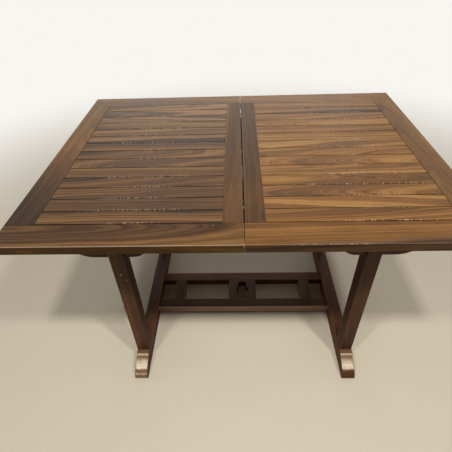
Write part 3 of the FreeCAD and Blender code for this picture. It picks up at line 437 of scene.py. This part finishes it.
POST_SCUFFS = {"left_front_post": ((0.466, -0.3745, 0.007, 0.0035, 0.55),
                                   (0.442, -0.3636, 0.0025, 0.007, 0.25))}
for number, node in enumerate(("left_front_post", "left_rear_post", "right_front_post", "right_rear_post")):
    base_board(node, "z", "x", 11.3 + 2.7 * number, flank=0.42, flank_dull=SIDE_DULL,
               scuffs=POST_SCUFFS.get(node, ()))


# Each trestle has a bearer between its posts, tenoned into them under the top.
# Curved brackets, sawn from the same plank, stiffen the posts' heads under the guide rails.

for number, node in enumerate(("left_bearer", "right_bearer")):
    base_board(node, "y", "x", 23.9 + number)
for number, node in enumerate(("left_front_brackets", "left_rear_brackets", "right_front_brackets",
                               "right_rear_brackets")):
    base_board(node, "x", "z", 27.2 + 1.9 * number)


# The flat stretcher frame lies between the feet: two rails, two cross slats and a pierced centre board.
# Its boards are thin planks of the same dark wood, bolted through the feet. The front rail's upper front
# arris carries a broad painted highlight, and its front face is painted much lighter as painted light.

base_board("front_stretcher_rail", "x", "y", 37.7, pale_arris=0.8, arris_width=0.006, front_only=True,
           flank=4.6, flank_saturation=0.72)
base_board("rear_stretcher_rail", "x", "y", 38.7)
for number, node in enumerate(("left_stretcher_slat", "right_stretcher_slat", "stretcher_centre_board")):
    base_board(node, "y", "x", 41.3 + 1.3 * number)


# Guide rails, travel stops and the leaf's ledges are plain planed strips under the top.
# The halves' runners slide in the rails' grooves, so these strips are less glossy than the show faces.

for number, node in enumerate(("front_guide_rail", "rear_guide_rail", "front_leaf_ledge", "rear_leaf_ledge",
                               "travel_stops")):
    base_board(node, "x", "z", 51.1 + 2.3 * number, roughness=0.5)


# Each half of the top is a frame of four rails round a row of slats, in a warmer brown than the base.
# The slats' tongues lie in grooves of the cross rails.
# The left half's planks are greyer, the right half's more orange.

SLAT_COUNT, SLAT_GAP = 14, 0.0032
GREY_BROWN = [(0.0, (0.030, 0.014, 0.007)), (0.30, (0.076, 0.037, 0.017)),
              (0.60, (0.155, 0.077, 0.030)), (1.0, (0.315, 0.172, 0.067))]
ORANGE_BROWN = [(0.0, (0.042, 0.018, 0.007)), (0.30, (0.128, 0.057, 0.018)),
                (0.60, (0.285, 0.132, 0.038)), (1.0, (0.490, 0.280, 0.100))]


def slat_row(node, across):
    """A row's first edge, its pitch, half a slat's width and the slats' count, from the row's own box."""
    axis = "xyz".index(across)
    low, high = (corner[axis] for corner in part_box(node))
    pitch = (high - low + SLAT_GAP) / SLAT_COUNT
    return low - SLAT_GAP / 2, pitch, (pitch - SLAT_GAP) / 2, SLAT_COUNT


# The front rails' front faces and the slats' edges are painted darker as shade; the front rails' upper
# front arrises carry a painted highlight, and their and the slats' upper arrises carry painted glints in
# dashes.
HALVES = {
    "left": {
        "tones": GREY_BROWN, "plank": 75.2, "heart_size": 0.030,
        "front": {"plank": 61.3, "stain": 0.03, "pale_arris": 0.5, "flank": 0.44, "shine": 0.08},
        "rear": {"stain": 0.08},
        "end": {"near_stain": -0.66},
        "slats": {"back_lift": 0.022, "stain": 0.08, "worn": 0.62, "zone": (-0.29, 0.15), "flank": 0.35},
    },
    "right": {
        "tones": ORANGE_BROWN, "plank": 103.3, "heart_size": -0.006,
        "front": {"plank": 103.6, "stain": -0.085, "pale_arris": 0.14, "flank": 0.60, "shine": 0.12,
                  "zone": (0.20, 0.12)},
        "rear": {"stain": -0.04},
        "end": {},
        "slats": {"back_lift": 0.004, "stain": -0.02, "worn": 0.8, "zone": (0.34, 0.19), "flank": 0.65},
    },
}
for side, half in HALVES.items():
    tones, plank, heart_size = half["tones"], half["plank"], half["heart_size"]
    hardwood(f"{side}_front_rail", "x", "y", tones, heart_size=heart_size, front_only=True, worn=0.6,
             **half["front"])
    hardwood(f"{side}_rear_rail", "x", "y", tones, plank + 1.9, figure=0.4, shine=0.16, **half["rear"])
    # The left end rail is darker towards its near end, partly a darker board and partly painted shade.
    hardwood(f"{side}_end_rail", "y", "x", GREY_BROWN, plank + 3.7, figure=0.55, grey=0.0, stain=0.17,
             shine=0.14, pale_arris=0.06, **half["end"])
    hardwood(f"{side}_seam_rail", "y", "x", GREY_BROWN, plank + 3.7 + 1.4, figure=0.55, grey=0.4,
             stain=0.01, shine=0.10, pale_arris=0.06)
    hardwood(f"{side}_slats", "x", "y", tones, plank + 7.7, row=slat_row(f"{side}_slats", "y"), figure=1.2,
             heart_size=heart_size, pale_arris=0.04, shine=0.17, **half["slats"])


# Battens, runners and stop blocks are screwed up from below and never show from above.
# They are off-cuts of the top's wood, planed and stained but not polished.

PLANED_ONLY = 0.52
for side, plank in (("left", 111.0), ("right", 127.0)):
    for number, batten in enumerate(("inner_batten", "outer_batten")):
        hardwood(f"{side}_{batten}", "y", "x", GREY_BROWN, plank + number, roughness=PLANED_ONLY)
    for number, strip in enumerate(("front_runner", "rear_runner", "stop_blocks")):
        hardwood(f"{side}_{strip}", "x", "z", GREY_BROWN, plank + 4.0 + number, roughness=PLANED_ONLY)


# The loose leaf is built like a half of the top, only narrower, and lies crossways on its ledges.
# Its slats run across the table there; end rails, side rails and battens frame them.

for number, (node, along, across) in enumerate((
        ("leaf_left_end_rail", "y", "x"), ("leaf_right_end_rail", "y", "x"),
        ("leaf_front_side_rail", "x", "y"), ("leaf_rear_side_rail", "x", "y"), ("leaf_battens", "x", "y"))):
    hardwood(node, along, across, ORANGE_BROWN, 141.0 + 1.7 * number)
hardwood("leaf_slats", "y", "x", ORANGE_BROWN, 157.0, row=slat_row("leaf_slats", "x"))


# Dowels line the halves and the leaf up along the seam.
# They are turned from pale beech, unstained, and glued into one side only.

BEECH = [(0.0, (0.36, 0.22, 0.11)), (0.4, (0.47, 0.31, 0.17)),
         (0.7, (0.56, 0.39, 0.23)), (1.0, (0.66, 0.50, 0.32))]
for node, along, across in (("seam_dowels", "x", "y"), ("leaf_dowels", "y", "x")):
    hardwood(node, along, across, BEECH, 171.0, pale_arris=0.0, roughness=0.55)


# Swing catches, their pivots and their pegs hold the halves together under the seam.
# They are stamped and turned brass that has dulled, with brighter rubs and brown tarnish.

PATCHES_PER_METRE = 160.0


def metal(name, clean, tarnish, roughness, scratches_per_metre):
    """Worn metal: tarnish in cloudy patches over the clean colour, fine scratches in its roughness."""
    finish, shader, place = new_finish(name)
    patches = rise(noise(place, PATCHES_PER_METRE, 4.0, 0.6), 0.42, 0.66)
    scratches = noise(place, scratches_per_metre, 2.0)
    feed(shader, Base_Color=mixed(patches, (*clean, 1.0), (*tarnish, 1.0)), Metallic=1.0,
         Roughness=roughness + patches * 0.22 + scratches * 0.14, Normal=bumped(scratches, 0.1, 0.0002))
    return finish


brass = metal("dulled_brass", (0.66, 0.49, 0.21), (0.32, 0.20, 0.075), 0.26, 2200.0)
for node in ("front_catch_hook", "rear_catch_hook", "catch_pivots", "catch_pegs"):
    dress(node, brass)


# Bolts with barrel nuts hold the stretcher to the feet; screws hold battens, runners, ledges and stops.
# They are turned from zinc-plated steel and sunk just below the wood: the bolts have a hexagon socket,
# the countersunk screws a cross recess and a point.

zinc = metal("zinc_plated_steel", (0.58, 0.58, 0.57), (0.36, 0.35, 0.33), 0.30, 1700.0)
dress("stretcher_barrel_nuts", zinc)
SIDES = 24
angle = np.arange(SIDES) * 2 * np.pi / SIDES


def hexagon(across_flats):
    """Radius over the angle: half the flats' distance over the cosine of the angle to the nearest flat."""
    from_flat = (angle + np.pi / 6) % (np.pi / 3) - np.pi / 6
    return across_flats / 2 / np.cos(from_flat)


def cross(reach, half_width):
    """Radius over the angle of two crossed bars that end at a reach: the further of their edges."""
    tiny = 1e-9
    level = np.maximum(abs(np.cos(angle)), tiny)
    upright = np.maximum(abs(np.sin(angle)), tiny)
    level_bar = np.minimum(reach / level, half_width / upright)
    upright_bar = np.minimum(reach / upright, half_width / level)
    return np.maximum(level_bar, upright_bar)


def fastener_places(node):
    """Each fastener of a CAD node: its head's middle, axes with the way in last, length and two radii.

    Corners joined by triangles belong to one fastener: every corner takes the least number among its
    triangles' corners until none changes. A fastener's longest side is its axis, its broader end the head.
    """
    decimals, same_end = 6, 1e-5
    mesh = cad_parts[node].data
    corners = np.empty(len(mesh.vertices) * 3)
    mesh.vertices.foreach_get("co", corners)
    triangles = np.empty(len(mesh.polygons) * 3, int)
    mesh.polygons.foreach_get("vertices", triangles)
    points, place = np.unique(corners.reshape(-1, 3).round(decimals), axis=0, return_inverse=True)
    triangles = place.reshape(-1)[triangles].reshape(-1, 3)
    owner = np.arange(len(points))
    settled = False
    while not settled:
        joined = owner.copy()
        np.minimum.at(joined, triangles, owner[triangles].min(axis=1, keepdims=True).repeat(3, axis=1))
        settled = (joined == owner).all()
        owner = joined
    for one in np.unique(owner):
        own = points[owner == one]
        low, high = own.min(axis=0), own.max(axis=0)
        axis = int(np.argmax(high - low))
        across = (axis + 1) % 3
        radii = [np.ptp(own[abs(own[:, axis] - end[axis]) < same_end, across]) / 2 for end in (low, high)]
        way = 1.0 if radii[0] > radii[1] else -1.0
        head = (low + high) / 2
        head[axis] = low[axis] if way > 0 else high[axis]
        axes = np.zeros((3, 3))
        axes[[0, 1, 2], [across, (axis + 2) % 3, axis]] = 1.0, way, way
        yield head, axes, high[axis] - low[axis], max(radii), min(radii)


BOLT_HEAD, CHAMFER = 0.008, 0.0006
SOCKET_FLATS, SOCKET_DEPTH, SOCKET_FLARE = 0.006, 0.004, 1.06


def socket_bolt(length, head, shank):
    """Rings of a cap bolt, from its socket's floor over the head to the shank's end."""
    socket = hexagon(SOCKET_FLATS)
    return [(SOCKET_DEPTH + CHAMFER, 0.0), (SOCKET_DEPTH, socket), (CHAMFER / 2, socket),
            (0.0, socket * SOCKET_FLARE), (0.0, head - CHAMFER), (CHAMFER, head), (BOLT_HEAD, head),
            (BOLT_HEAD, shank), (length - CHAMFER, shank), (length, shank - CHAMFER), (length, 0.0)]


SCREW_HEAD, SCREW_RIM = 0.0025, 0.0002
CROSS_REACH, CROSS_HALF, CROSS_TAPER = 0.0022, 0.00059, 0.7
CROSS_DEPTH, CROSS_TIP_DEPTH = 0.0015, 0.0021


def cross_screw(length, head, shank):
    """Rings of a countersunk screw, from its recess's floor over the head to its point."""
    recess = cross(CROSS_REACH, CROSS_HALF)
    return [(CROSS_TIP_DEPTH, 0.0), (CROSS_DEPTH, recess * CROSS_TAPER), (0.0, recess),
            (0.0, head - SCREW_RIM), (SCREW_RIM, head), (SCREW_HEAD, shank),
            (length - 2 * shank, shank), (length, 0.0)]


def turned(name, node, body, rings_of):
    """Fasteners in place of a CAD node's plain ones, as one mesh.

    A fastener is a stack of rings along its axis, each with a depth below the head's flat and a radius over
    the angle. The first and the last ring are single points, which close its ends.
    """
    points, faces = [], []
    count = 0
    for head, axes, length, head_radius, shank_radius in fastener_places(node):
        rings = rings_of(length, head_radius, shank_radius)
        depth = np.array([ring[0] for ring in rings])
        radius = np.array([np.broadcast_to(ring[1], SIDES) for ring in rings[1:-1]])
        depths = np.broadcast_to(depth[1:-1, None], radius.shape)
        wall = np.stack([radius * np.cos(angle), radius * np.sin(angle), depths], axis=-1).reshape(-1, 3)
        points.append(head + np.vstack([wall, [(0, 0, depth[0]), (0, 0, depth[-1])]]) @ axes)
        ring = count + np.arange(len(wall)).reshape(-1, SIDES)
        beside = np.roll(ring, -1, axis=1)
        floor_point, end_point = count + len(wall), count + len(wall) + 1
        faces += np.stack([ring[:-1], beside[:-1], beside[1:], ring[1:]], axis=-1).reshape(-1, 4).tolist()
        faces += np.stack([np.full(SIDES, floor_point), beside[0], ring[0]], axis=-1).tolist()
        faces += np.stack([ring[-1], beside[-1], np.full(SIDES, end_point)], axis=-1).tolist()
        count += len(wall) + 2
    mesh = bpy.data.meshes.new(name)
    mesh.from_pydata(np.vstack(points).tolist(), [], faces)
    mesh.materials.append(zinc)
    piece = bpy.data.objects.new(name, mesh)
    bpy.context.scene.collection.objects.link(piece)
    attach(piece, body)
    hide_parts(node)


turned("socket_head_bolts", "stretcher_bolts", "base", socket_bolt)
for prefix, body in (("base", "base"), ("left", "left_top"), ("right", "right_top"), ("leaf", "leaf")):
    turned(f"{prefix}_wood_screws", f"{prefix}_screws", body, cross_screw)


# The table stands on a plain pale floor that turns white further off, like a studio sweep.
# It is one large sheet, clear from below.
# Its far part shows its own pale colour to the eye and to reflections.

FLOOR_REACH = 30.0
FLOOR_COLOUR = (0.79, 0.73, 0.60, 1.0)
PALE = (0.93, 0.915, 0.87, 1.0)
SWEEP_START, SWEEP_END = 1.1, 3.0


def seen_directly(at):
    """1 for what the eye, a reflection or a clear body shows, 0 for light that falls on a surface."""
    eye, reflection, clear_body = [at.node("ShaderNodeLightPath", ray, {}, {})
                                   for ray in ("Is Camera Ray", "Is Glossy Ray", "Is Transmission Ray")]
    return at.maths("MINIMUM", eye + reflection + clear_body, 1.0)


def one_over_other(factor, first, second):
    """Two shaders mixed by a factor."""
    return factor.node("ShaderNodeMixShader", "Shader", {}, {0: factor, 1: first, 2: second})


floor_mesh = bpy.data.meshes.new("floor")
corners = np.array([(-1, -1, 0), (1, -1, 0), (1, 1, 0), (-1, 1, 0)]) * FLOOR_REACH
floor_mesh.from_pydata(corners.tolist(), [], [(0, 1, 2, 3)])
floor = bpy.data.objects.new("floor", floor_mesh)
bpy.context.scene.collection.objects.link(floor)
floor_finish, floor_shader, floor_place = new_finish("pale_floor")
feed(floor_shader, Base_Color=FLOOR_COLOUR, Roughness=0.9, Specular_IOR_Level=0.2)
floor_tree = floor_finish.node_tree
distance = floor_place.node("ShaderNodeVectorMath", "Value", {"operation": "LENGTH"}, {0: floor_place})
far_part = rise(distance, SWEEP_START, SWEEP_END) * seen_directly(floor_place)
glow = floor_place.node("ShaderNodeEmission", "Emission", {}, {"Color": PALE})
sweep = one_over_other(far_part, Wire(floor_tree, floor_shader.outputs["BSDF"]), glow)
from_below = floor_place.node("ShaderNodeNewGeometry", "Backfacing", {}, {})
clear = floor_place.node("ShaderNodeBsdfTransparent", "BSDF", {}, {})
sweep = one_over_other(from_below, sweep, clear)
floor_tree.links.new(sweep.socket, floor_tree.nodes["Material Output"].inputs["Surface"])
floor_mesh.materials.append(floor_finish)


# Soft studio light: an even surround that looks as pale as the floor's far part,
# a row of three lamps above the front, and low banks behind and at both ends.

SURROUND_COLOUR, SURROUND_STRENGTH = (1.0, 0.96, 0.90, 1.0), 0.08
world = bpy.data.worlds.new("surround")
world.use_nodes = True
world_tree = world.node_tree
background = world_tree.nodes["Background"]
background.inputs["Color"].default_value = SURROUND_COLOUR
background.inputs["Strength"].default_value = SURROUND_STRENGTH
even_light = Wire(world_tree, background.outputs["Background"])
pale_surround = even_light.node("ShaderNodeBackground", "Background", {}, {"Color": PALE})
surround = one_over_other(seen_directly(even_light), even_light, pale_surround)
world_tree.links.new(surround.socket, world_tree.nodes["World Output"].inputs["Surface"])
bpy.context.scene.world = world

LAMP_COLOUR = (1.0, 0.95, 0.87)
TABLE_MIDDLE = Vector((0.0, 0.0, 0.7))
KEY_SIZE, BACK_SIZE, END_SIZE = (0.20, 0.20), (3.0, 1.2), (1.6, 1.2)


def lamp(name, place, size, power):
    """A rectangular softbox that faces the middle of the top."""
    light = bpy.data.lights.new(name, "AREA")
    light.shape = "RECTANGLE"
    light.size, light.size_y = size
    light.energy = power
    light.color = LAMP_COLOUR
    stand = bpy.data.objects.new(name, light)
    stand.location = place
    stand.rotation_euler = (TABLE_MIDDLE - Vector(place)).to_track_quat("-Z", "Y").to_euler()
    bpy.context.scene.collection.objects.link(stand)


lamp("middle_key", (0.1, -1.50, 2.9), KEY_SIZE, 29.0)
lamp("left_key", (-0.9, -1.50, 2.9), KEY_SIZE, 18.0)
lamp("right_key", (1.1, -1.50, 2.9), KEY_SIZE, 26.0)
lamp("back_bank", (-0.1, 3.0, 1.2), BACK_SIZE, 20.0)
lamp("left_bank", (-3.2, 0.4, 1.2), END_SIZE, 12.0)
lamp("right_bank", (3.2, 0.4, 1.2), END_SIZE, 12.0)


# The camera stands in front of the table at eye height and looks down at it.
# Its place, turn in degrees and lens in millimetres follow from the table's edges in the photograph.

CAMERA_PLACE, CAMERA_TURN = (-0.0154, -1.0823, 1.3009), (50.284, 1.699, 0.981)
CAMERA_LENS, CAMERA_SENSOR = 29.7, 36.0
camera_data = bpy.data.cameras.new("camera")
camera_data.lens = CAMERA_LENS
camera_data.sensor_width = CAMERA_SENSOR
camera = bpy.data.objects.new("camera", camera_data)
camera.location = CAMERA_PLACE
camera.rotation_euler = [math.radians(degrees) for degrees in CAMERA_TURN]
bpy.context.scene.collection.objects.link(camera)
bpy.context.scene.camera = camera
bpy.context.scene.view_settings.view_transform = "Standard"
